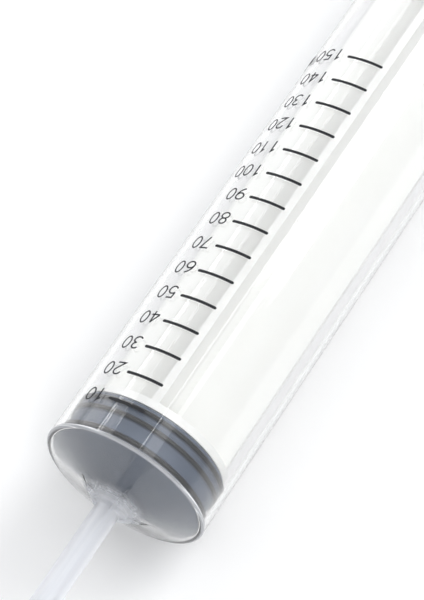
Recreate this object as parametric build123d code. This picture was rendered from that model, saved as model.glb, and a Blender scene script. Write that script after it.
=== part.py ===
from build123d import *
from math import cos, pi, radians, sin, tan
import os

# A large graduated plastic syringe for injecting marinade into meat, lying on its side.
# Millimetres. While a piece is being drawn, X runs along the syringe's axis with the needle
# towards -X, and x = 0 is the plane of the barrel's front rim. The last section moves every
# piece to the shared origin: the middle of the footprint, on the surface it lies on.

# ---------------------------------------------------------------- driving dimensions
BARREL_R = 21.5  # outside radius of the barrel
BORE_R = 20.0  # radius of the bore
FRONT_WALL = 1.5  # thickness of the barrel's front wall
CONE_ANGLE = 20  # degrees, slope of the conical front wall
CONE = tan(radians(CONE_ANGLE))
RIM_FILLET = 0.7
STEP_ML = 10  # one line for every 10 ml
FULL_ML = 150
STEP_X = STEP_ML * 1000 / (pi * BORE_R**2)  # length of bore that holds one step

NOZZLE_R = 3.2  # outside of the long nozzle
NOZZLE_BORE_R = 1.5
NOZZLE_LENGTH = 54.0  # from the rim plane to the nozzle's tip
NOZZLE_TIP_R = 2.9  # the tip tapers so that a needle socket jams on it
TAPER_LENGTH = 12.0
TIP_CHAMFER = 0.3
BOSS_R = 4.6  # step round the foot of the nozzle
BOSS_LENGTH = 0.9
BOSS_RAMP = 0.6  # length of the slope from the nozzle up to its step
GUSSET_COUNT = 4
GUSSET_FIRST = 25  # degrees from the top, growing towards -Y
GUSSET_THICK = 0.9
GUSSET_REACH_R = 10.0
GUSSET_RISE = 2.0  # along the nozzle, in front of its foot
GUSSET_LIP = 0.5  # its height above the nozzle at its front end
GUSSET_SUNK = 0.8  # how deep it runs into the wall and the nozzle

SEAL_GAP = 0.35  # play between the seal's face and the front wall at zero
SEAL_LENGTH = 10.3  # at its edge, behind the cone
RIB_R = BORE_R - 0.06  # sealing ribs, a running fit in the bore
GROOVE_R = BORE_R - 0.75
FACE_R = BORE_R - 0.6  # edge of the seal's conical face
RIB_WIDTH = 1.0
RIB_OFFSETS = (0.7, 5.9, 8.75)  # middle of each rib behind the seal's front edge
RIB_FLANK = 0.35  # length of the slope from a groove up to a rib
RIB_CROWN = 0.08  # how much a rib's edges are lower than its middle
SOCKET_R = 14.7  # snap-in socket in the back of the seal
SOCKET_FLOOR = 2.6  # from the seal's front edge
SOCKET_DEPTH = 4.4
MOUTH_R = 12.2
MOUTH_CHAMFER = 0.6

HEAD_R = 14.4  # barbed head of the plunger rod
HEAD_THICK = 3.9
HEAD_CHAMFER = 1.6
HEAD_PLAY = 0.2  # between the head and the floor of the seal's socket
NECK_R = MOUTH_R - 0.08
BACKING_GAP = 0.25  # play behind the seal
BACKING_R = BORE_R - 0.9  # disc that pushes the back of the seal
BACKING_THICK = 2.0
BLADE_HALF = BORE_R - 2.1  # half the width of the rod's crossed blades
BLADE_THICK = 2.0
THUMB_R = BARREL_R - 1
THUMB_THICK = 3.0
THUMB_FILLET = 0.9
FINGER_SPACE = 13.5  # between the flange and the thumb disc when the syringe is empty

OVERRUN = 36.0  # bore behind the last line
TRAVEL = FULL_ML / STEP_ML * STEP_X + OVERRUN
BEAD_HEIGHT = 0.4  # ridge inside the mouth that stops the seal coming out
BEAD_WIDTH = 1.6
BEAD_TOP_WIDTH = 0.4
MOUTH_LAND = 3.4  # from the bead to the open end
BARREL_CHAMFER = 0.8  # round the open end of the bore
FLANGE_THICK = 3.0
FLANGE_SPAN = 68.0  # across the two finger wings
FLANGE_CORNER = 13.0
FLANGE_FILLET = 0.7
UNDER_FLANGE_R = BARREL_R - 0.3  # the tube steps in here, so its land ends at the flange
GRIP_BARS = 4
GRIP_BAR_INSET = 2.6  # from the wing's end to the first bar
GRIP_BAR_PITCH = 2.6
GRIP_BAR_WIDTH = 1.1
GRIP_BAR_LENGTH = 20.0
OUTER_BAR_LENGTH = 14.0  # the bar nearest the wing's rounded end
GRIP_BAR_HEIGHT = 0.6

HUB_R = 6.0  # socket that slips over the nozzle's tip
HUB_COLLAR_R = 7.2
HUB_COLLAR_LENGTH = 2.2
HUB_CHAMFER = 1.0
HUB_BODY_LENGTH = 13.0
HUB_NOSE_R = 2.7
HUB_NOSE_LENGTH = 12.0
HUB_NOSE_FOOT_R = 3.8
HUB_NOSE_RAMP = 1.5  # length of the slope from the body down to the nose
HUB_OVERLAP = 11.4  # how much of the nozzle it covers
HUB_GRIPS = 8
HUB_GRIP_WIDTH = 1.3
HUB_GRIP_THICK = 1.2
SOCKET_PLAY = 0.05
SOCKET_END_GAP = 0.3  # room beyond the nozzle's tip
NEEDLE_R = 1.6
NEEDLE_BORE_R = 1.1
NEEDLE_EXPOSED = 88.0  # steel tube in front of the hub
NEEDLE_IN_HUB = 10.0
HOLE_R = 0.5
HOLE_STATIONS = 8
HOLE_PITCH = 5.0
HOLE_FIRST = 6.0  # from the front end of the tube
POINT_LENGTH = 8.0
POINT_SHOULDER = 1.2  # straight length behind the cone
POINT_FLAT_R = 0.15
PLUG_LENGTH = 4.0

INK_DEPTH = 0.1
INK_PROUD = 0.04
INK_CUTTER = 0.5  # how far a flat mark is extruded before the ink layer trims it
LINE_THICK = 0.75
LINE_START = 0.0  # degrees from the top of the barrel, growing towards +Y
LINE_SWEEP = 24.8
DIGIT_STROKE = 0.38
DIGIT_HALF_WIDTH = 1.17  # to the middle of the stroke
DIGIT_HALF_HEIGHT = 1.72
DIGIT_PITCH = 3.4  # along the barrel's surface
DIGIT_GAP = 3.36  # from the end of a line to the middle of its number's first digit
UNIT_START = 3.6  # from there to the unit's first letter, in digit pitches
UNIT_PITCH = 0.75
DIGIT_DROP = 0.5  # the middle of a number sits this far behind its line

# ---------------------------------------------------------------- derived positions
INNER_RIM_X = FRONT_WALL / cos(radians(CONE_ANGLE)) - (BARREL_R - BORE_R) * CONE
FOOT_X = -(BARREL_R - BOSS_R) * CONE  # where the nozzle's step meets the cone
ZERO_X = INNER_RIM_X + SEAL_GAP  # front edge of the seal when the syringe is empty
SEAL_BACK = ZERO_X + SEAL_LENGTH
BEAD_X = SEAL_BACK + TRAVEL + BEAD_WIDTH
MOUTH_X = BEAD_X + BEAD_WIDTH + MOUTH_LAND
FLANGE_X = MOUTH_X - FLANGE_THICK
THUMB_X = MOUTH_X + FINGER_SPACE
ROD_END = THUMB_X + THUMB_THICK
HUB_MOUTH = -NOZZLE_LENGTH + HUB_OVERLAP
HUB_SHOULDER = HUB_MOUTH - HUB_BODY_LENGTH
NOSE_TIP = HUB_SHOULDER - HUB_NOSE_LENGTH
TUBE_END = NOSE_TIP - NEEDLE_EXPOSED
POINT_TIP = TUBE_END - POINT_LENGTH


# ---------------------------------------------------------------- shared helpers
def outline_face(outline):
    """A flat face through the syringe's axis, from the (x, radius) points of its outline."""
    corners = [(x, 0, r) for x, r in outline]
    return Face(Wire(Polyline(corners, close=True).edges()))


def turned(outline, sweep=360):
    """Revolve an outline of (x, radius) points about the syringe's axis."""
    return revolve(outline_face(outline), Axis.X, sweep)


def disc(radius, start, end):
    """A plain round slab between two stations along the axis."""
    return turned([(start, 0), (start, radius), (end, radius), (end, 0)])


def around(shape, count, first=0.0):
    """Copies of a shape spaced evenly about the syringe's axis."""
    return [Rot(first + 360 * i / count, 0, 0) * shape for i in range(count)]


def circles_at(part, station, tolerance=0.01):
    """The round edges of a part that lie in one plane across the axis."""
    round_edges = part.edges().filter_by(GeomType.CIRCLE)
    return round_edges.filter_by(lambda e: abs(e.center(CenterOf.BOUNDING_BOX).X - station) < tolerance)


# ---------------------------------------------------------------- barrel: one clear moulding
def gusset():
    """One thin triangular rib that braces the nozzle's foot against the front wall."""
    reach = -(BARREL_R - GUSSET_REACH_R) * CONE
    front = FOOT_X - GUSSET_RISE
    root_r = NOZZLE_R - GUSSET_SUNK
    corners = [(FOOT_X + GUSSET_SUNK, BOSS_R), (reach + GUSSET_SUNK, GUSSET_REACH_R), (reach, GUSSET_REACH_R)]
    corners += [(front, NOZZLE_R + GUSSET_LIP), (front, root_r), (FOOT_X + GUSSET_SUNK, root_r)]
    return extrude(outline_face(corners), GUSSET_THICK / 2, dir=(0, 1, 0), both=True)


def make_barrel():
    """Tube, conical front wall, long nozzle and winged finger flange, moulded in one."""
    boss_x = FOOT_X - BOSS_LENGTH
    taper_x = -NOZZLE_LENGTH + TAPER_LENGTH
    outside = [(-NOZZLE_LENGTH, 0), (-NOZZLE_LENGTH, NOZZLE_TIP_R - TIP_CHAMFER)]
    outside += [(-NOZZLE_LENGTH + TIP_CHAMFER, NOZZLE_TIP_R), (taper_x, NOZZLE_R)]
    outside += [(boss_x - BOSS_RAMP, NOZZLE_R), (boss_x, BOSS_R)]
    outside += [(FOOT_X, BOSS_R), (0, BARREL_R), (FLANGE_X, BARREL_R)]
    outside += [(FLANGE_X, UNDER_FLANGE_R), (MOUTH_X, UNDER_FLANGE_R), (MOUTH_X, 0)]
    body = turned(outside)
    body = fillet(circles_at(body, 0).sort_by(lambda e: e.radius)[-1:], RIM_FILLET)

    wings = Plane.YZ.offset(FLANGE_X) * RectangleRounded(FLANGE_SPAN, 2 * BARREL_R, FLANGE_CORNER)
    flange = extrude(wings, FLANGE_THICK)
    flange = fillet(flange.edges().filter_by(Plane.YZ), FLANGE_FILLET)
    body += flange
    for side in (-1, 1):
        for i in range(GRIP_BARS):
            y = side * (FLANGE_SPAN / 2 - GRIP_BAR_INSET - i * GRIP_BAR_PITCH)
            length = OUTER_BAR_LENGTH if i == 0 else GRIP_BAR_LENGTH
            body += Pos(FLANGE_X, y, 0) * Box(GRIP_BAR_HEIGHT * 2, GRIP_BAR_WIDTH, length)
    for rib in around(gusset(), GUSSET_COUNT, GUSSET_FIRST):
        body += rib

    bead_start = BEAD_X - BEAD_WIDTH / 2
    bead_end = BEAD_X + BEAD_WIDTH / 2
    inside = [(INNER_RIM_X - BORE_R * CONE, 0), (INNER_RIM_X, BORE_R), (bead_start, BORE_R)]
    bead_r = BORE_R - BEAD_HEIGHT
    inside += [(BEAD_X - BEAD_TOP_WIDTH / 2, bead_r), (BEAD_X + BEAD_TOP_WIDTH / 2, bead_r)]
    inside.append((bead_end, BORE_R))
    inside += [(MOUTH_X - BARREL_CHAMFER, BORE_R), (MOUTH_X, BORE_R + BARREL_CHAMFER), (MOUTH_X, 0)]
    body -= turned(inside)
    body -= disc(NOZZLE_BORE_R, -NOZZLE_LENGTH - 1, 1)
    return body


# ---------------------------------------------------------------- ink printed on the barrel
def ink_shell():
    """The thin layer of the barrel's surface that the ink soaks into."""
    low, top = BARREL_R - INK_DEPTH, BARREL_R + INK_PROUD
    return turned([(0, low), (0, top), (MOUTH_X, top), (MOUTH_X, low)])


def surface_plane(station, angle):
    """A plane that touches the barrel, with text upright when the nozzle points up."""
    a = radians(angle)
    outward = (0, sin(a), cos(a))
    origin = (station, BARREL_R * sin(a), BARREL_R * cos(a))
    return Plane(origin=origin, x_dir=(0, cos(a), -sin(a)), z_dir=outward)


def make_lines():
    """One line round the barrel for every 10 ml, with rounded ends."""
    solids = []
    shell = ink_shell()
    low, top = BARREL_R - INK_DEPTH, BARREL_R + INK_PROUD
    half = LINE_THICK / 2
    for i in range(1, FULL_ML // STEP_ML + 1):
        x = ZERO_X + i * STEP_X
        section = [(x - half, low), (x - half, top), (x + half, top), (x + half, low)]
        # A positive turn about X carries the top of the barrel towards -Y.
        line = Rot(-LINE_START, 0, 0) * turned(section, -LINE_SWEEP)
        for angle in (LINE_START, LINE_START + LINE_SWEEP):
            dot = surface_plane(x, angle) * Circle(half)
            line += extrude(dot, INK_CUTTER, both=True) & shell
        solids.append(line)
    return solids


def stroke(*points):
    """A straight or bent pen stroke."""
    return trace(Polyline(*points), DIGIT_STROKE)


def bow(x, y, wide, tall, start, sweep):
    """A round pen stroke, part of an oval."""
    return trace(EllipticalCenterArc((x, y), wide, tall, start, arc_size=sweep), DIGIT_STROKE)


def loop(x, y, wide, tall):
    """A closed oval pen stroke."""
    half = DIGIT_STROKE / 2
    return Pos(x, y) * (Ellipse(wide + half, tall + half) - Ellipse(wide - half, tall - half))


def draw_glyph(character):
    """A character as pen strokes, centred, with the corners of its cell at (side, top)."""
    side, top = DIGIT_HALF_WIDTH, DIGIT_HALF_HEIGHT
    upper, lower = (0, 0.88, 1.0, 0.84), (0, -0.84, side, 0.88)
    if character == "0":
        return loop(0, 0, side, top)
    if character == "1":
        return stroke((-0.55, 1.0), (0.2, top), (0.2, -top))
    if character == "2":
        return bow(0, 0.75, 1.08, 0.97, -30, 200) + stroke((0.935, 0.265), (-1.12, -top), (side, -top))
    if character == "3":
        return bow(*upper, -90, 240) + bow(*lower, -150, 240)
    if character == "4":
        slope = stroke((0.5, top), (-side, -0.75))
        return stroke((0.5, -top), (0.5, top)) + slope + stroke((-side, -0.75), (side + 0.1, -0.75))
    if character == "5":
        return stroke((0.95, top), (-0.75, top), (-0.95, 0.1)) + bow(-0.02, -0.64, side, 1.08, -150, 290)
    if character == "6":
        stem = trace(ThreePointArc((0.7, top - 0.06), (-0.75, 0.65), (-side, -0.72)), DIGIT_STROKE)
        return loop(0, -0.72, side, 1.0) + stem
    if character == "7":
        return stroke((-side, top), (side, top), (-0.35, -top))
    if character == "8":
        return loop(*upper) + loop(*lower)
    if character == "9":
        return Rot(0, 0, 180) * draw_glyph("6")
    if character == "m":
        arches = bow(-0.6, 0.1, 0.6, 0.5, 0, 180) + bow(0.6, 0.1, 0.6, 0.5, 0, 180)
        left, right = stroke((-side, -top), (-side, 0.6)), stroke((side, -top), (side, 0.15))
        return arches + left + stroke((0, -top), (0, 0.15)) + right
    return stroke((0, -top), (0, top))


def glyph(character, station, arc):
    """One printed character, its middle at a distance round the barrel from the top."""
    angle = arc / BARREL_R * 180 / pi
    face = surface_plane(station, angle) * draw_glyph(character)
    return extrude(face, INK_CUTTER, both=True) & ink_shell()


def make_numbers():
    """The numbers beside the lines, and the unit beside the last one."""
    solids = []
    first = radians(LINE_START + LINE_SWEEP) * BARREL_R + DIGIT_GAP
    for i in range(1, FULL_ML // STEP_ML + 1):
        middle = ZERO_X + i * STEP_X + DIGIT_DROP
        for k, character in enumerate(str(i * STEP_ML)):
            solids.append(glyph(character, middle, first + k * DIGIT_PITCH))
    full = ZERO_X + FULL_ML / STEP_ML * STEP_X + DIGIT_DROP
    for k, character in enumerate("ml"):
        solids.append(glyph(character, full, first + (UNIT_START + UNIT_PITCH * k) * DIGIT_PITCH))
    return solids


# ---------------------------------------------------------------- rubber seal
def make_seal():
    """Rubber piston with three sealing ribs and a snap-in socket in its back."""
    outline = [(ZERO_X - BORE_R * CONE, 0), (ZERO_X - (BORE_R - FACE_R) * CONE, FACE_R)]
    foot = RIB_WIDTH / 2 + RIB_FLANK
    shoulder = RIB_WIDTH * 0.3
    for offset in RIB_OFFSETS:
        middle = ZERO_X + offset
        if offset != RIB_OFFSETS[0]:
            outline.append((middle - foot, GROOVE_R))
        outline.append((middle - shoulder, RIB_R - RIB_CROWN))
        outline.append((middle, RIB_R))
        outline.append((middle + shoulder, RIB_R - RIB_CROWN))
        outline.append((middle + foot, GROOVE_R))
    outline += [(SEAL_BACK, GROOVE_R), (SEAL_BACK, MOUTH_R + MOUTH_CHAMFER)]
    outline.append((SEAL_BACK - MOUTH_CHAMFER, MOUTH_R))
    floor = ZERO_X + SOCKET_FLOOR
    outline += [(floor + SOCKET_DEPTH, MOUTH_R), (floor + SOCKET_DEPTH, SOCKET_R)]
    outline += [(floor, SOCKET_R), (floor - SOCKET_R * CONE, 0)]
    return turned(outline)


# ---------------------------------------------------------------- plunger rod
def make_rod():
    """Barbed head, backing disc, crossed blades and thumb disc, moulded in one."""
    head_x = ZERO_X + SOCKET_FLOOR + HEAD_PLAY
    head_end = head_x + HEAD_THICK
    backing = SEAL_BACK + BACKING_GAP
    outline = [(head_x - HEAD_R * CONE, 0), (head_x - HEAD_CHAMFER * CONE, HEAD_R - HEAD_CHAMFER)]
    outline += [(head_x + HEAD_CHAMFER - HEAD_CHAMFER * CONE, HEAD_R), (head_end, HEAD_R), (head_end, NECK_R)]
    outline += [(backing, NECK_R), (backing, BACKING_R)]
    outline += [(backing + BACKING_THICK, BACKING_R), (backing + BACKING_THICK, 0)]
    rod = turned(outline)
    length = THUMB_X - backing
    middle = (THUMB_X + backing) / 2
    for turn in (0, 90):
        rod += Rot(turn, 0, 0) * Pos(middle, 0, 0) * Box(length, 2 * BLADE_HALF, BLADE_THICK)
    thumb = disc(THUMB_R, THUMB_X, ROD_END)
    return rod + fillet(thumb.edges().filter_by(GeomType.CIRCLE), THUMB_FILLET)


# ---------------------------------------------------------------- needle, its hub and its point
def make_hub():
    """Moulded socket that slips over the nozzle and holds the needle in its nose."""
    collar_end = HUB_MOUTH - HUB_COLLAR_LENGTH
    outline = [(HUB_MOUTH, 0), (HUB_MOUTH, HUB_COLLAR_R), (collar_end, HUB_COLLAR_R)]
    outline += [(collar_end - HUB_CHAMFER / 2, HUB_R), (HUB_SHOULDER + HUB_CHAMFER, HUB_R)]
    outline += [(HUB_SHOULDER, HUB_R - HUB_CHAMFER), (HUB_SHOULDER - HUB_NOSE_RAMP, HUB_NOSE_FOOT_R)]
    outline += [(NOSE_TIP, HUB_NOSE_R), (NOSE_TIP, 0)]
    hub = turned(outline)
    grip_length = HUB_BODY_LENGTH - HUB_COLLAR_LENGTH - HUB_CHAMFER
    grip = Box(grip_length, HUB_GRIP_WIDTH, HUB_GRIP_THICK)
    for bar in around(Pos(collar_end - grip_length / 2, 0, HUB_R) * grip, HUB_GRIPS):
        hub += bar
    slope = (NOZZLE_R - NOZZLE_TIP_R) / (TAPER_LENGTH - TIP_CHAMFER)
    mouth_r = NOZZLE_R - slope * (TAPER_LENGTH - HUB_OVERLAP) + SOCKET_PLAY
    socket_x = -NOZZLE_LENGTH - SOCKET_END_GAP
    end_r = NOZZLE_TIP_R + SOCKET_PLAY
    hub -= turned([(HUB_MOUTH, 0), (HUB_MOUTH, mouth_r), (socket_x, end_r), (socket_x, 0)])
    hub -= disc(NEEDLE_BORE_R, NOSE_TIP, 0)
    hub -= disc(NEEDLE_R, NOSE_TIP - 1, NOSE_TIP + NEEDLE_IN_HUB)
    return hub


def make_tube():
    """Steel tube with a double row of spray holes near its front end."""
    rear = NOSE_TIP + NEEDLE_IN_HUB
    tube = disc(NEEDLE_R, TUBE_END, rear) - disc(NEEDLE_BORE_R, TUBE_END - 1, rear + 1)
    drill = Cylinder(HOLE_R, 4 * NEEDLE_R)
    for i in range(HOLE_STATIONS):
        station = TUBE_END + HOLE_FIRST + i * HOLE_PITCH
        tube -= Pos(station, 0, 0) * Rot(90 * (i % 2), 0, 0) * drill
    return tube


def make_point():
    """Solid steel point with a short plug pressed into the front of the tube."""
    plug_end = TUBE_END + PLUG_LENGTH
    outline = [(POINT_TIP, 0), (POINT_TIP, POINT_FLAT_R), (TUBE_END - POINT_SHOULDER, NEEDLE_R)]
    outline += [(TUBE_END, NEEDLE_R), (TUBE_END, NEEDLE_BORE_R), (plug_end, NEEDLE_BORE_R), (plug_end, 0)]
    return turned(outline)


# ---------------------------------------------------------------- place and write
NODES = {
    "barrel": make_barrel(),
    "graduation_lines": make_lines(),
    "graduation_numbers": make_numbers(),
    "piston_seal": make_seal(),
    "plunger_rod": make_rod(),
    "needle_hub": make_hub(),
    "needle_tube": make_tube(),
    "needle_point": make_point(),
}

home = Pos(-(POINT_TIP + ROD_END) / 2, 0, BARREL_R)
os.makedirs("parts", exist_ok=True)
for name, shape in NODES.items():
    solids = shape if isinstance(shape, list) else [shape]
    group = Compound([solid for piece in solids for solid in piece.solids()])
    export_step(home * group, f"parts/{name}.step")
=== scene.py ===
# A meat injector: a large clear syringe with a printed scale, a grey rubber piston on a crossed
# plunger rod, and a slip-on steel needle with spray holes. It lies on a light table.
import bmesh
import bpy
from math import cos, pi, radians, sin, tan
from mathutils import Matrix, Vector


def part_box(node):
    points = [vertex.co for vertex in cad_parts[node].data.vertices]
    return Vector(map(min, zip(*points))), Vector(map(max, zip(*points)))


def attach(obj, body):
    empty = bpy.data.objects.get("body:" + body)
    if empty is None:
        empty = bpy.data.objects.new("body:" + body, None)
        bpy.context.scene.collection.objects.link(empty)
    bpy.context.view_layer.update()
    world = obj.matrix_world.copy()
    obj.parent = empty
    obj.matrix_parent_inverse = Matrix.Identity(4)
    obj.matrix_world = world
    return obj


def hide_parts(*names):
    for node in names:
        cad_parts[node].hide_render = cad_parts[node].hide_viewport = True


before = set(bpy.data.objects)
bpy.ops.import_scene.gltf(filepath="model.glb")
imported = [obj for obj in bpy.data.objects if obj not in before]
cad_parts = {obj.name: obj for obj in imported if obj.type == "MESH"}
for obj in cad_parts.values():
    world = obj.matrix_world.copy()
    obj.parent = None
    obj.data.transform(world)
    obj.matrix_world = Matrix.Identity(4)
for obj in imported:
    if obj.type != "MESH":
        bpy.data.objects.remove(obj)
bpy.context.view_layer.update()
scene = bpy.context.scene
MM = 0.001

# ---------------------------------------------------------------- table, light and camera
# The studio: a light table with a matt opal acrylic top, faintly lit from below, in a white room.
# Everything around a clear moulding shows in it, so the room is nearly as bright as the table.


def linear(hex_colour):
    """An sRGB hex colour as the linear values that shaders use."""
    parts = [int(hex_colour[i:i + 2], 16) / 255 for i in (1, 3, 5)]
    return tuple(c / 12.92 if c <= 0.04045 else ((c + 0.055) / 1.055) ** 2.4 for c in parts) + (1.0,)


def add(tree, kind, inputs=None, **settings):
    """Add a node to a tree; each of its inputs gets a constant or another node's output."""
    node = tree.nodes.new(kind)
    for name, value in settings.items():
        setattr(node, name, value)
    for name, value in (inputs or {}).items():
        if isinstance(value, bpy.types.NodeSocket):
            tree.links.new(value, node.inputs[name])
        else:
            node.inputs[name].default_value = value
    return node


def new_material(name):
    """An empty node material and its tree."""
    material = bpy.data.materials.new(name)
    material.use_nodes = True
    material.node_tree.nodes.clear()
    return material, material.node_tree


def add_object(name, data, collection=scene.collection):
    """Link a new object to the scene."""
    obj = bpy.data.objects.new(name, data)
    collection.objects.link(obj)
    return obj


barrel_low, barrel_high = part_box("barrel")
NOZZLE_LENGTH = 54.0 * MM  # from the barrel's front rim to the nozzle's tip
rim_x = barrel_low.x + NOZZLE_LENGTH
BARREL_R = 21.5 * MM
axis_z = BARREL_R

# Matt opal acrylic: sanded, with a grain of about 1.1 mm, so nothing mirrors in it.
opal, tree = new_material("matt opal acrylic")
place = add(tree, "ShaderNodeTexCoord").outputs["Object"]
grain = add(tree, "ShaderNodeTexNoise", {"Vector": place, "Scale": 900.0, "Detail": 3.0})
dents = add(tree, "ShaderNodeBump", {"Strength": 0.04, "Distance": 0.0002, "Height": grain.outputs["Fac"]})
skin = add(tree, "ShaderNodeBsdfPrincipled", {
    "Base Color": linear("#fbfbfb"), "Roughness": 0.62, "Specular IOR Level": 0.25,
    "Emission Color": linear("#ffffff"), "Emission Strength": 0.06,
    "Normal": dents.outputs["Normal"]})
add(tree, "ShaderNodeOutputMaterial", {"Surface": skin.outputs["BSDF"]})

TABLE_HALF = 1.6
table_mesh = bpy.data.meshes.new("table")
corners = [(x * TABLE_HALF, y * TABLE_HALF, 0) for x, y in ((-1, -1), (1, -1), (1, 1), (-1, 1))]
table_mesh.from_pydata(corners, [], [(0, 1, 2, 3)])
table_mesh.materials.append(opal)
add_object("table", table_mesh)

world = bpy.data.worlds.new("white room")
scene.world = world
world.use_nodes = True
world.node_tree.nodes.clear()
ROOM = 0.64  # how bright the room is where there is no lamp
air = add(world.node_tree, "ShaderNodeBackground", {"Color": linear("#fcfdff"), "Strength": ROOM})
add(world.node_tree, "ShaderNodeOutputWorld", {"Surface": air.outputs["Background"]})
scene.view_settings.view_transform = "Standard"
LAMP_DISTANCE = 1.6
axis_front = Vector((rim_x, 0, axis_z))


def soft_box(name, towards, width, length, radiance):
    """A flat rectangular lamp that faces the barrel's front, its long side along the barrel."""
    lamp = bpy.data.lights.new(name, "AREA")
    lamp.shape = "RECTANGLE"
    lamp.size = width
    lamp.size_y = length
    lamp.energy = radiance * pi * width * length
    z = Vector(towards).normalized()
    y = (Vector((1, 0, 0)) - z * z.x).normalized()
    turn = Matrix((y.cross(z), y, z)).transposed().to_4x4()
    add_object(name, lamp).matrix_world = Matrix.Translation(axis_front + z * LAMP_DISTANCE) @ turn


# A window and a panel above it show in the barrel's curve, and the bright frames at their edges
# draw thin lines along it. The key stands behind the flange, and a weak fill by the camera.
# Each lamp has its direction, its width and length in metres, and its brightness.
LAMPS = {
    "key": ((0.68, -0.3, 0.67), 0.8, 0.8, 4.6),
    "side": ((0.39, 0.875, 0.29), 0.75, 1.0, 1.2),
    "fill": ((-0.45, -0.62, 0.64), 1.0, 1.0, 1.7),
    "window": ((0.389, 0.648, 0.652), 0.3, 1.0, 1.15),
    "window_frame": ((0.387, 0.74, 0.55), 0.05, 1.0, 9.0),
    "window_post": ((0.39, 0.555, 0.735), 0.03, 1.0, 5.0),
    "panel": ((0.392, -0.29, 0.872), 0.42, 1.0, 1.1),
    "panel_frame": ((0.391, -0.103, 0.915), 0.025, 1.0, 6.0)}
for name, settings in LAMPS.items():
    soft_box(name, *settings)

# The camera looks down steeply from the needle's side, with a long lens.
CAMERA_AZIMUTH = 300.823
CAMERA_ELEVATION = 59.499
CAMERA_DISTANCE = 685.38 * MM
LENS = 169.95
aim = Vector((rim_x + 53.573 * MM, 8.186 * MM, axis_z))
a, e = radians(CAMERA_AZIMUTH), radians(CAMERA_ELEVATION)
back = Vector((sin(a) * cos(e), -cos(a) * cos(e), sin(e)))
right = Vector((0, 0, 1)).cross(back).normalized()
up = back.cross(right)
camera_data = bpy.data.cameras.new("camera")
camera_data.lens = LENS
camera_data.clip_start = 0.05
camera = add_object("camera", camera_data)
turn = Matrix((right, up, back)).transposed().to_4x4()
camera.matrix_world = Matrix.Translation(aim + back * CAMERA_DISTANCE) @ turn
scene.camera = camera

# ---------------------------------------------------------------- barrel
# One injection moulding in clear polypropylene: a tube with a conical front wall, a long nozzle
# braced by four small ribs, and a finger flange. The mould gives it a polished surface with fine
# marks that run along it.

SEGMENTS = 192


def set_inputs(modifier, values):
    """Give a Geometry Nodes modifier its inputs, by their names in the tree."""
    for item in modifier.node_group.interface.items_tree:
        if item.item_type == "SOCKET" and item.in_out == "INPUT" and item.name in values:
            modifier[item.identifier] = values[item.name]


def made(obj):
    """Turn an object's evaluated shape into a plain mesh and drop its modifiers."""
    bpy.context.view_layer.update()
    shape = obj.evaluated_get(bpy.context.evaluated_depsgraph_get())
    mesh = bpy.data.meshes.new_from_object(shape)
    old = obj.data
    obj.modifiers.clear()
    obj.data = mesh
    mesh.name = obj.name
    bpy.data.meshes.remove(old)
    return obj


def new_geometry_tree(name, sockets):
    """A Geometry Nodes tree with a geometry in and out and some more named inputs."""
    group = bpy.data.node_groups.new(name, "GeometryNodeTree")
    group.interface.new_socket("Geometry", in_out="INPUT", socket_type="NodeSocketGeometry")
    for label, kind, value in sockets:
        socket = group.interface.new_socket(label, in_out="INPUT", socket_type=kind)
        if value is not None:
            socket.default_value = value
    group.interface.new_socket("Geometry", in_out="OUTPUT", socket_type="NodeSocketGeometry")
    return group, add(group, "NodeGroupInput").outputs


def finish_tree(group, geometry, material):
    """End a tree in real, smooth-shaded, painted faces with sharp corners kept sharp."""
    real = add(group, "GeometryNodeRealizeInstances", {"Geometry": geometry})
    smooth = add(group, "GeometryNodeSetShadeSmooth", {"Geometry": real.outputs["Geometry"]})
    angle = add(group, "GeometryNodeInputMeshEdgeAngle").outputs["Unsigned Angle"]
    sharp = add(group, "FunctionNodeCompare", {0: angle, 1: radians(SHARP_ANGLE)}, operation="GREATER_THAN")
    edged = add(group, "GeometryNodeSetShadeSmooth", {
        "Geometry": smooth.outputs["Geometry"], "Selection": sharp.outputs["Result"],
        "Shade Smooth": False}, domain="EDGE")
    painted = add(group, "GeometryNodeSetMaterial", {
        "Geometry": edged.outputs["Geometry"], "Material": material})
    add(group, "NodeGroupOutput", {"Geometry": painted.outputs["Geometry"]})


SHARP_ANGLE = 32.0

# The turning tree: the incoming points are a profile in the plane of the axis, at (x, 0, radius).
# Every point is carried round the axis, and a profile whose ends meet closes on itself.
turning, inputs = new_geometry_tree("turn a profile round the axis", [
    ("Segments", "NodeSocketInt", SEGMENTS), ("Axis Height", "NodeSocketFloat", 0.0),
    ("Material", "NodeSocketMaterial", None)])
profile_size = add(turning, "GeometryNodeAttributeDomainSize", {"Geometry": inputs["Geometry"]})
round_count = add(turning, "ShaderNodeMath", {0: inputs["Segments"], 1: 1.0}).outputs[0]
grid = add(turning, "GeometryNodeMeshGrid", {
    "Vertices X": profile_size.outputs["Point Count"], "Vertices Y": round_count})
index = add(turning, "GeometryNodeInputIndex").outputs["Index"]
row = add(turning, "ShaderNodeMath", {0: index, 1: round_count}, operation="DIVIDE").outputs[0]
row = add(turning, "ShaderNodeMath", {0: row}, operation="FLOOR").outputs[0]
station = add(turning, "ShaderNodeMath", {0: index, 1: round_count}, operation="MODULO").outputs[0]
point = add(turning, "GeometryNodeSampleIndex", {
    "Geometry": inputs["Geometry"], "Value": add(turning, "GeometryNodeInputPosition").outputs[0],
    "Index": row}, data_type="FLOAT_VECTOR")
point = add(turning, "ShaderNodeSeparateXYZ", {0: point.outputs["Value"]}).outputs
share = add(turning, "ShaderNodeMath", {0: station, 1: inputs["Segments"]}, operation="DIVIDE").outputs[0]
angle = add(turning, "ShaderNodeMath", {0: share, 1: 2 * pi}, operation="MULTIPLY").outputs[0]
sine = add(turning, "ShaderNodeMath", {0: angle}, operation="SINE").outputs[0]
cosine = add(turning, "ShaderNodeMath", {0: angle}, operation="COSINE").outputs[0]
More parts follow.
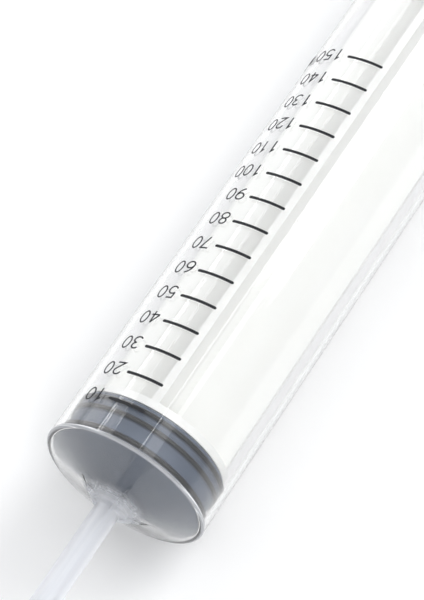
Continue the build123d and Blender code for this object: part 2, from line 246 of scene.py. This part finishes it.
side = add(turning, "ShaderNodeMath", {0: point["Z"], 1: sine}, operation="MULTIPLY").outputs[0]
height = add(turning, "ShaderNodeMath", {
    0: point["Z"], 1: cosine, 2: inputs["Axis Height"]}, operation="MULTIPLY_ADD").outputs[0]
where = add(turning, "ShaderNodeCombineXYZ", {0: point["X"], 1: side, 2: height}).outputs[0]
moved = add(turning, "GeometryNodeSetPosition", {"Geometry": grid.outputs["Mesh"], "Position": where})
closed = add(turning, "GeometryNodeMergeByDistance", {"Geometry": moved.outputs[0], "Distance": 2e-6})
finish_tree(turning, closed.outputs[0], inputs["Material"])

# The repeating tree: copies of the incoming mesh, each shifted and turned about the axis more.
repeating, inputs = new_geometry_tree("repeat along and round the axis", [
    ("Count", "NodeSocketInt", 1), ("Shift", "NodeSocketVector", None),
    ("First Turn", "NodeSocketFloat", 0.0), ("Turn", "NodeSocketFloat", 0.0),
    ("Axis Height", "NodeSocketFloat", 0.0), ("Material", "NodeSocketMaterial", None)])
spots = add(repeating, "GeometryNodeMeshLine", {
    "Count": inputs["Count"], "Offset": inputs["Shift"]}, mode="OFFSET")
index = add(repeating, "GeometryNodeInputIndex").outputs["Index"]
angle = add(repeating, "ShaderNodeMath", {
    0: index, 1: inputs["Turn"], 2: inputs["First Turn"]}, operation="MULTIPLY_ADD").outputs[0]
turned_by = add(repeating, "ShaderNodeCombineXYZ", {0: angle}).outputs[0]
copies = add(repeating, "GeometryNodeInstanceOnPoints", {
    "Points": spots.outputs["Mesh"], "Instance": inputs["Geometry"], "Rotation": turned_by})
lift = add(repeating, "ShaderNodeCombineXYZ", {2: inputs["Axis Height"]}).outputs[0]
raised = add(repeating, "GeometryNodeTransform", {
    "Geometry": copies.outputs["Instances"], "Translation": lift})
finish_tree(repeating, raised.outputs[0], inputs["Material"])


def profile_points(corners, closed):
    """Corners as (x, radius) or (x, radius, rounding) in mm, made into a fine outline in metres.

    A rounded corner becomes an arc with a support point beside each end, so that the
    long straight runs next to it shade as straight.
    """
    ARC_STEPS = 6
    SUPPORT = 0.04
    count = len(corners)
    outline = []
    for i, corner in enumerate(corners):
        here = Vector(corner[:2])
        rounding = corner[2] if len(corner) > 2 else 0
        if not rounding:
            outline.append(here)
            continue
        before = (Vector(corners[i - 1][:2]) - here).normalized()
        after = (Vector(corners[(i + 1) % count][:2]) - here).normalized()
        half = before.angle(after) / 2
        setback = rounding / tan(half)
        start, end = here + before * setback, here + after * setback
        centre = here + (before + after).normalized() * (rounding / sin(half))
        outline.append(start + before * SUPPORT)
        first, last = start - centre, end - centre
        sweep = first.angle_signed(last)
        for k in range(ARC_STEPS + 1):
            outline.append(centre + Matrix.Rotation(-sweep * k / ARC_STEPS, 2) @ first)
        outline.append(end + after * SUPPORT)
    if closed:
        outline.append(outline[0].copy())
    return [Vector((x * MM + rim_x, 0, r * MM)) for x, r in outline]


def mesh_of(name, points, edges, faces):
    """A plain mesh object."""
    mesh = bpy.data.meshes.new(name)
    mesh.from_pydata(points, edges, faces)
    return add_object(name, mesh)


def turned(name, corners, material, closed=False):
    """A piece turned about the syringe's axis from the corners of its outline."""
    points = profile_points(corners, closed)
    obj = mesh_of(name, points, [(i, i + 1) for i in range(len(points) - 1)], [])
    tree_modifier = obj.modifiers.new("turned", "NODES")
    tree_modifier.node_group = turning
    set_inputs(tree_modifier, {"Segments": SEGMENTS, "Axis Height": axis_z, "Material": material})
    return made(obj)


def repeated(obj, count, material, shift=(0, 0, 0), first_turn=0.0, turn=0.0):
    """Copies of a piece drawn with the axis at height 0, shifted and turned step by step."""
    tree_modifier = obj.modifiers.new("repeated", "NODES")
    tree_modifier.node_group = repeating
    set_inputs(tree_modifier, {
        "Count": count, "Shift": shift, "First Turn": radians(first_turn),
        "Turn": radians(turn), "Axis Height": axis_z, "Material": material})
    return made(obj)


def combined(base, others, operation, material):
    """Join pieces to a base, or cut them out of it, and remove them."""
    for other in others:
        step = base.modifiers.new(operation.lower(), "BOOLEAN")
        step.operation = operation
        step.solver = "EXACT"
        step.object = other
    made(base)
    for other in others:
        bpy.data.objects.remove(other)
    base.data.materials.clear()
    base.data.materials.append(material)
    base.data.polygons.foreach_set("material_index", [0] * len(base.data.polygons))
    base.data.shade_smooth()
    base.data.set_sharp_from_angle(angle=radians(SHARP_ANGLE))
    return base


def prism(name, outline, bottom, top, bevel=0.0):
    """A closed slab: an outline of (u, v) corners carried by bottom and top functions."""
    count = len(outline)
    points = [bottom(u, v) for u, v in outline] + [top(u, v) for u, v in outline]
    faces = [tuple(reversed(range(count))), tuple(range(count, 2 * count))]
    faces += [(i, (i + 1) % count, count + (i + 1) % count, count + i) for i in range(count)]
    obj = mesh_of(name, points, [], faces)
    if bevel:
        edge = obj.modifiers.new("edges", "BEVEL")
        edge.width = bevel
        edge.segments = 3
        edge.harden_normals = False
        made(obj)
    return obj


def outward(obj):
    """Point every face of a closed piece outwards."""
    shape = bmesh.new()
    shape.from_mesh(obj.data)
    bmesh.ops.recalc_face_normals(shape, faces=shape.faces)
    shape.to_mesh(obj.data)
    shape.free()
    return obj


# Clear polypropylene, moulded: marks 17 mm long and 1.1 mm wide, and a haze in patches of 22 mm.
# It is milky where it is thick, at the nozzle, and whitened in a thin band along the front rim, a painted
# highlight.
# It casts a light shadow, as a thin clear wall does.
clear_plastic, tree = new_material("clear moulded polypropylene")
place = add(tree, "ShaderNodeTexCoord").outputs["Object"]
drawn = add(tree, "ShaderNodeMapping", {"Vector": place, "Scale": (60.0, 900.0, 900.0)})
marks = add(tree, "ShaderNodeTexNoise", {"Vector": drawn.outputs[0], "Scale": 1.0, "Detail": 4.0})
haze = add(tree, "ShaderNodeTexNoise", {"Vector": place, "Scale": 45.0, "Detail": 3.0, "Roughness": 0.6})
centred = add(tree, "ShaderNodeMapping", {"Vector": place, "Location": (0, 0, -axis_z), "Scale": (0, 1, 1)})
radius = add(tree, "ShaderNodeVectorMath", {0: centred.outputs[0]}, operation="LENGTH").outputs["Value"]
thick = add(tree, "ShaderNodeMapRange", {
    "Value": radius, "From Min": 5.0 * MM, "From Max": 8.5 * MM, "To Min": 1.0, "To Max": 0.0})
# A thin band at the front rim's outer edge gets extra milk: a painted highlight for the bright line along
# the rim.
rim_highlight_band = add(tree, "ShaderNodeMapRange", {
    "Value": add(tree, "ShaderNodeSeparateXYZ", {0: place}).outputs["X"],
    "From Min": rim_x + 0.25 * MM, "From Max": rim_x + 0.75 * MM, "To Min": 1.0, "To Max": 0.0})
outer = add(tree, "ShaderNodeMapRange", {
    "Value": radius, "From Min": 20.7 * MM, "From Max": 21.1 * MM})
painted_rim_highlight = add(tree, "ShaderNodeMath", {0: rim_highlight_band.outputs[0], 1: outer.outputs[0]}, operation="MULTIPLY")
polish = add(tree, "ShaderNodeMapRange", {
    "Value": marks.outputs["Fac"], "From Min": 0.35, "From Max": 0.75, "To Min": 0.03, "To Max": 0.09})
gloss = add(tree, "ShaderNodeMath", {
    0: thick.outputs[0], 1: 0.3, 2: polish.outputs[0]}, operation="MULTIPLY_ADD")
waves = add(tree, "ShaderNodeBump", {
    "Strength": 0.12, "Distance": 0.00003, "Height": haze.outputs["Fac"]})
clear = add(tree, "ShaderNodeBsdfPrincipled", {
    "Base Color": linear("#fefefe"), "Roughness": gloss.outputs[0], "IOR": 1.49,
    "Transmission Weight": 1.0, "Normal": waves.outputs["Normal"]})
milk = add(tree, "ShaderNodeBsdfPrincipled", {
    "Base Color": linear("#e2e4e9"), "Roughness": 0.35, "Normal": waves.outputs["Normal"]})
milkiness = add(tree, "ShaderNodeMapRange", {
    "Value": haze.outputs["Fac"], "From Min": 0.3, "From Max": 0.8, "To Min": 0.005, "To Max": 0.02})
# How much milk is mixed in: the painted rim highlight on top of the haze.
mapped_level = add(tree, "ShaderNodeMath", {
    0: painted_rim_highlight.outputs[0], 1: 0.5, 2: milkiness.outputs[0]}, operation="MULTIPLY_ADD")
streak = add(tree, "ShaderNodeMapRange", {
    "Value": marks.outputs["Fac"], "From Min": 0.35, "From Max": 0.65, "To Min": 0.3, "To Max": 0.6})
cloud = add(tree, "ShaderNodeMath", {
    0: thick.outputs[0], 1: streak.outputs[0], 2: mapped_level.outputs[0]},
    operation="MULTIPLY_ADD", use_clamp=True)
body = add(tree, "ShaderNodeMixShader", {
    0: cloud.outputs[0], 1: clear.outputs["BSDF"], 2: milk.outputs["BSDF"]})
window = add(tree, "ShaderNodeBsdfTransparent", {"Color": linear("#f4f5f6")})
shadow = add(tree, "ShaderNodeLightPath").outputs["Is Shadow Ray"]
wall = add(tree, "ShaderNodeMixShader", {
    0: shadow, 1: body.outputs["Shader"], 2: window.outputs["BSDF"]})
add(tree, "ShaderNodeOutputMaterial", {"Surface": wall.outputs["Shader"]})

BORE_R = 20.0
CONE = tan(radians(20))  # slope of the front wall
INNER_RIM = 1.05  # where the bore meets the inside of the front wall, behind the rim
MOUTH = (barrel_high.x - rim_x) / MM
FLANGE_THICK = 3.0
FLANGE_X = MOUTH - FLANGE_THICK
STEP_R = 21.3  # the tube steps in a little under the flange
BEAD_MIDDLE = MOUTH - 5.0  # a low ridge that keeps the seal in
BEAD_HALF = 0.8
BEAD_HEIGHT = 0.4
NOZZLE_R, NOZZLE_BORE_R, NOZZLE_TIP_R = 3.2, 1.5, 2.9
TAPER = 12.0
BOSS_R = 4.6
FOOT = -(21.5 - BOSS_R) * CONE
TIP = -NOZZLE_LENGTH / MM

outside = [
    (TIP, 0), (TIP, NOZZLE_TIP_R, 0.3), (TIP + TAPER, NOZZLE_R), (FOOT - 1.5, NOZZLE_R, 0.5),
    (FOOT - 0.9, BOSS_R, 0.25), (FOOT, BOSS_R, 0.2), (0, 21.5, 0.7), (FLANGE_X - 0.6, 21.5),
    (FLANGE_X - 0.1, 21.5), (MOUTH, STEP_R, 0.3), (MOUTH, 0)]
inside = [
    (INNER_RIM - BORE_R * CONE, 0), (INNER_RIM, BORE_R, 0.3),
    (BEAD_MIDDLE - BEAD_HALF, BORE_R, 0.3), (BEAD_MIDDLE, BORE_R - BEAD_HEIGHT, 0.3),
    (BEAD_MIDDLE + BEAD_HALF, BORE_R, 0.3), (MOUTH - 0.8, BORE_R, 0.3),
    (MOUTH + 0.2, BORE_R + 1.0), (MOUTH + 0.2, 0)]
hole = [(TIP - 1, 0), (TIP - 1, NOZZLE_BORE_R), (0.5, NOZZLE_BORE_R), (0.5, 0)]
barrel = outward(turned("barrel_moulding", outside, clear_plastic))
bore = outward(turned("bore", inside, clear_plastic))
nozzle_hole = outward(turned("nozzle_hole", hole, clear_plastic))

# A small triangular rib, drawn above the axis and repeated four times round the nozzle's foot.
GUSSET_REACH_R = 10.0
GUSSET_HALF = 0.45
reach = -(21.5 - GUSSET_REACH_R) * CONE
gusset_outline = [
    (FOOT + 0.8, BOSS_R), (reach + 0.8, GUSSET_REACH_R), (reach, GUSSET_REACH_R),
    (FOOT - 2.0, NOZZLE_R + 0.5), (FOOT - 2.0, NOZZLE_R - 0.8), (FOOT + 0.8, NOZZLE_R - 0.8)]
gusset = prism(
    "gussets", gusset_outline,
    lambda x, r: (rim_x + x * MM, -GUSSET_HALF * MM, r * MM),
    lambda x, r: (rim_x + x * MM, GUSSET_HALF * MM, r * MM), bevel=0.12 * MM)
gussets = repeated(outward(gusset), 4, clear_plastic, first_turn=25, turn=90)


def rounded_rectangle(half_width, half_height, radius, steps=14):
    """The corners of a rectangle with rounded ends, going round once."""
    outline = []
    for sx, sy, start in ((1, 1, 0), (-1, 1, 90), (-1, -1, 180), (1, -1, 270)):
        for k in range(steps + 1):
            angle = radians(start + 90 * k / steps)
            outline.append((
                sx * (half_width - radius) + radius * cos(angle),
                sy * (half_height - radius) + radius * sin(angle)))
    return outline


WING_REACH = 34.0  # from the axis to the end of each finger wing
FLANGE_HALF_HEIGHT = 21.47
WING_CORNER = 13.0
flange = prism(
    "flange", rounded_rectangle(WING_REACH, FLANGE_HALF_HEIGHT, WING_CORNER),
    lambda y, z: (rim_x + FLANGE_X * MM, y * MM, axis_z + z * MM),
    lambda y, z: (rim_x + MOUTH * MM, y * MM, axis_z + z * MM), bevel=0.7 * MM)
# The bars for the fingers: three long ones and a shorter one at the wing's rounded end.
GRIP_PITCH = 2.6
GRIP_FIRST = 23.6  # from the axis to the innermost bar
GRIP_HALF_WIDTH = 0.55
GRIP_HEIGHT = 0.6  # how far a bar stands out of the flange, and sinks into it
bars = []
for half_length, count, first in ((10.0, 3, GRIP_FIRST), (7.0, 1, GRIP_FIRST + 3 * GRIP_PITCH)):
    grip = prism(
        "grip_bars", rounded_rectangle(GRIP_HALF_WIDTH, half_length, 0.5, 4),
        lambda y, z: (rim_x + (FLANGE_X - GRIP_HEIGHT) * MM, (y + first) * MM, z * MM),
        lambda y, z: (rim_x + (FLANGE_X + GRIP_HEIGHT) * MM, (y + first) * MM, z * MM),
        bevel=0.2 * MM)
    bars.append(repeated(outward(grip), count, clear_plastic, shift=(0, GRIP_PITCH * MM, 0)))
for bar in bars[:]:
    other_side = add_object("grip_bars_other_side", bar.data.copy())
    other_side.data.transform(Matrix.Scale(-1, 4, (0, 1, 0)))
    bars.append(outward(other_side))
combined(barrel, [outward(flange), gussets] + bars, "UNION", clear_plastic)
combined(barrel, [bore, nozzle_hole], "DIFFERENCE", clear_plastic)
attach(barrel, "barrel")
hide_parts("barrel")

# ---------------------------------------------------------------- printed scale
# One line for every 10 ml and its number, screen printed in black ink on the barrel's outside.
# The ink is thin and matt, and a little uneven in density.

# Screen printing ink: matt, near black, mottled every 0.4 mm by the screen.
ink, tree = new_material("screen printed black ink")
place = add(tree, "ShaderNodeTexCoord").outputs["Object"]
cover = add(tree, "ShaderNodeTexNoise", {"Vector": place, "Scale": 2600.0, "Detail": 2.0})
black = add(tree, "ShaderNodeMix", {
    0: cover.outputs["Fac"], 6: linear("#1b1c1f"), 7: linear("#2c2d31")}, data_type="RGBA")
print_skin = add(tree, "ShaderNodeBsdfPrincipled", {
    "Base Color": black.outputs[2], "Roughness": 0.55, "Specular IOR Level": 0.3})
add(tree, "ShaderNodeOutputMaterial", {"Surface": print_skin.outputs["BSDF"]})
for name in ("graduation_lines", "graduation_numbers"):
    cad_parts[name].material_slots[0].material = ink

# ---------------------------------------------------------------- rubber seal
# The piston: moulded synthetic rubber in blue-grey, satin, with three sealing ribs that press
# on the bore. Their crests are painted near black there, a painted darkening for the reflection that is
# missing where no air is left between rubber and wall.

# Moulded rubber: satin, mottled in patches of 6 mm. Its pores are drawn at 0.45 mm, which is coarser
# than the real ones, so that they show.
rubber, tree = new_material("moulded rubber")
place = add(tree, "ShaderNodeTexCoord").outputs["Object"]
centred = add(tree, "ShaderNodeMapping", {
    "Vector": place, "Location": (-rim_x, 0, -axis_z), "Scale": (1, 1, 1)})
split = add(tree, "ShaderNodeSeparateXYZ", {0: centred.outputs[0]}).outputs
flat = add(tree, "ShaderNodeCombineXYZ", {1: split["Y"], 2: split["Z"]}).outputs[0]
radius = add(tree, "ShaderNodeVectorMath", {0: flat}, operation="LENGTH").outputs["Value"]
# Painted darkening on the rib crests, where they press on the bore.
rib_crest_painted_dark = add(tree, "ShaderNodeMapRange", {
    "Value": radius, "From Min": 19.4 * MM, "From Max": 19.65 * MM})
mottle = add(tree, "ShaderNodeTexNoise", {"Vector": place, "Scale": 160.0, "Detail": 5.0})
base = add(tree, "ShaderNodeMix", {
    0: mottle.outputs["Fac"], 6: linear("#485262"), 7: linear("#505b6c")}, data_type="RGBA")
shade = add(tree, "ShaderNodeMix", {
    0: rib_crest_painted_dark.outputs[0], 6: base.outputs[2], 7: linear("#05080c")}, data_type="RGBA")
pores = add(tree, "ShaderNodeTexNoise", {"Vector": place, "Scale": 2200.0, "Detail": 2.0})
skin_bump = add(tree, "ShaderNodeBump", {
    "Strength": 0.08, "Distance": 0.00003, "Height": pores.outputs["Fac"]})
mapped_level = add(tree, "ShaderNodeMapRange", {
    "Value": mottle.outputs["Fac"], "From Min": 0.3, "From Max": 0.7, "To Min": 0.42, "To Max": 0.58})
satin = add(tree, "ShaderNodeBsdfPrincipled", {
    "Base Color": shade.outputs[2], "Roughness": mapped_level.outputs[0], "IOR": 1.5,
    "Normal": skin_bump.outputs["Normal"]})
add(tree, "ShaderNodeOutputMaterial", {"Surface": satin.outputs["BSDF"]})

seal_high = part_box("piston_seal")[1]
ZERO = INNER_RIM + 0.35  # a gap between the seal's cone and the barrel's front wall
SEAL_BACK = (seal_high.x - rim_x) / MM
RIB_R, GROOVE_R, NOSE_R = 19.92, 19.25, 19.4
RIB_MIDDLES = (0.7, 5.9, 8.75)  # behind the front edge; the first rib is at that edge
CREST, FLANK = 0.35, 0.85  # from a rib's middle to the end of its crest and of its flank
SOCKET_R, LIP_R = 14.7, 12.2  # the hollow for the rod's head, and the lip that holds it
SOCKET_FRONT, SOCKET_BACK = ZERO + 2.6, ZERO + 7.0
LIP_CHAMFER = 0.6
seal_outline = [(ZERO - BORE_R * CONE, 0), (ZERO - 0.6 * CONE, NOSE_R, 0.2)]
for offset in RIB_MIDDLES:
    middle = ZERO + offset
    if offset != RIB_MIDDLES[0]:
        seal_outline.append((middle - FLANK, GROOVE_R, 0.25))
    seal_outline.append((middle - CREST, RIB_R, 0.2))
    seal_outline.append((middle + CREST, RIB_R, 0.2))
    seal_outline.append((middle + FLANK, GROOVE_R, 0.25))
seal_outline += [
    (SEAL_BACK, GROOVE_R, 0.3), (SEAL_BACK, LIP_R + LIP_CHAMFER, 0.2),
    (SEAL_BACK - LIP_CHAMFER, LIP_R, 0.2), (SOCKET_BACK, LIP_R, 0.2),
    (SOCKET_BACK, SOCKET_R, 0.3), (SOCKET_FRONT, SOCKET_R, 0.3),
    (SOCKET_FRONT - SOCKET_R * CONE, 0)]
seal = outward(turned("rubber_seal", seal_outline, rubber))
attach(seal, "seal")
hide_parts("piston_seal")

# ---------------------------------------------------------------- plunger rod
# Crossed blades between a round backing disc and a thumb disc, moulded in one from natural
# white polypropylene, which lets some light through.

# Unpigmented polypropylene: flow streaks 33 mm long and 4.5 mm wide under a fine 0.7 mm texture.
white_plastic, tree = new_material("natural white polypropylene")
place = add(tree, "ShaderNodeTexCoord").outputs["Object"]
flow = add(tree, "ShaderNodeMapping", {"Vector": place, "Scale": (30.0, 220.0, 220.0)})
streaks = add(tree, "ShaderNodeTexNoise", {"Vector": flow.outputs[0], "Scale": 1.0, "Detail": 4.0})
tint = add(tree, "ShaderNodeMix", {
    0: streaks.outputs["Fac"], 6: linear("#f1f1ed"), 7: linear("#f8f8f6")}, data_type="RGBA")
fine = add(tree, "ShaderNodeTexNoise", {"Vector": place, "Scale": 1500.0, "Detail": 2.0})
skin_bump = add(tree, "ShaderNodeBump", {
    "Strength": 0.1, "Distance": 0.00004, "Height": fine.outputs["Fac"]})
sheen = add(tree, "ShaderNodeMapRange", {
    "Value": streaks.outputs["Fac"], "From Min": 0.3, "From Max": 0.7, "To Min": 0.28, "To Max": 0.4})
plastic = add(tree, "ShaderNodeBsdfPrincipled", {
    "Base Color": tint.outputs[2], "Roughness": sheen.outputs[0], "IOR": 1.49,
    "Normal": skin_bump.outputs["Normal"]})
through = add(tree, "ShaderNodeBsdfTranslucent", {"Color": linear("#fafafa")})
milky = add(tree, "ShaderNodeMixShader", {0: 0.15, 1: plastic.outputs["BSDF"], 2: through.outputs["BSDF"]})
add(tree, "ShaderNodeOutputMaterial", {"Surface": milky.outputs["Shader"]})
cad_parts["plunger_rod"].material_slots[0].material = white_plastic
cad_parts["needle_hub"].material_slots[0].material = white_plastic

# ---------------------------------------------------------------- needle
# A drawn stainless tube with drilled spray holes and a solid ground point.

# Drawn stainless steel: bright, with scratches 12 mm long and 0.17 mm wide along the tube.
steel, tree = new_material("drawn stainless")
place = add(tree, "ShaderNodeTexCoord").outputs["Object"]
lines = add(tree, "ShaderNodeMapping", {"Vector": place, "Scale": (80.0, 6000.0, 6000.0)})
scratches = add(tree, "ShaderNodeTexNoise", {"Vector": lines.outputs[0], "Scale": 1.0, "Detail": 3.0})
tone = add(tree, "ShaderNodeMix", {
    0: scratches.outputs["Fac"], 6: linear("#9fa1a4"), 7: linear("#c1c2c5")}, data_type="RGBA")
finish = add(tree, "ShaderNodeMapRange", {
    "Value": scratches.outputs["Fac"], "From Min": 0.3, "From Max": 0.7, "To Min": 0.18, "To Max": 0.34})
metal = add(tree, "ShaderNodeBsdfPrincipled", {
    "Base Color": tone.outputs[2], "Roughness": finish.outputs[0], "Metallic": 1.0})
add(tree, "ShaderNodeOutputMaterial", {"Surface": metal.outputs["BSDF"]})
for name in ("needle_tube", "needle_point"):
    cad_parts[name].material_slots[0].material = steel
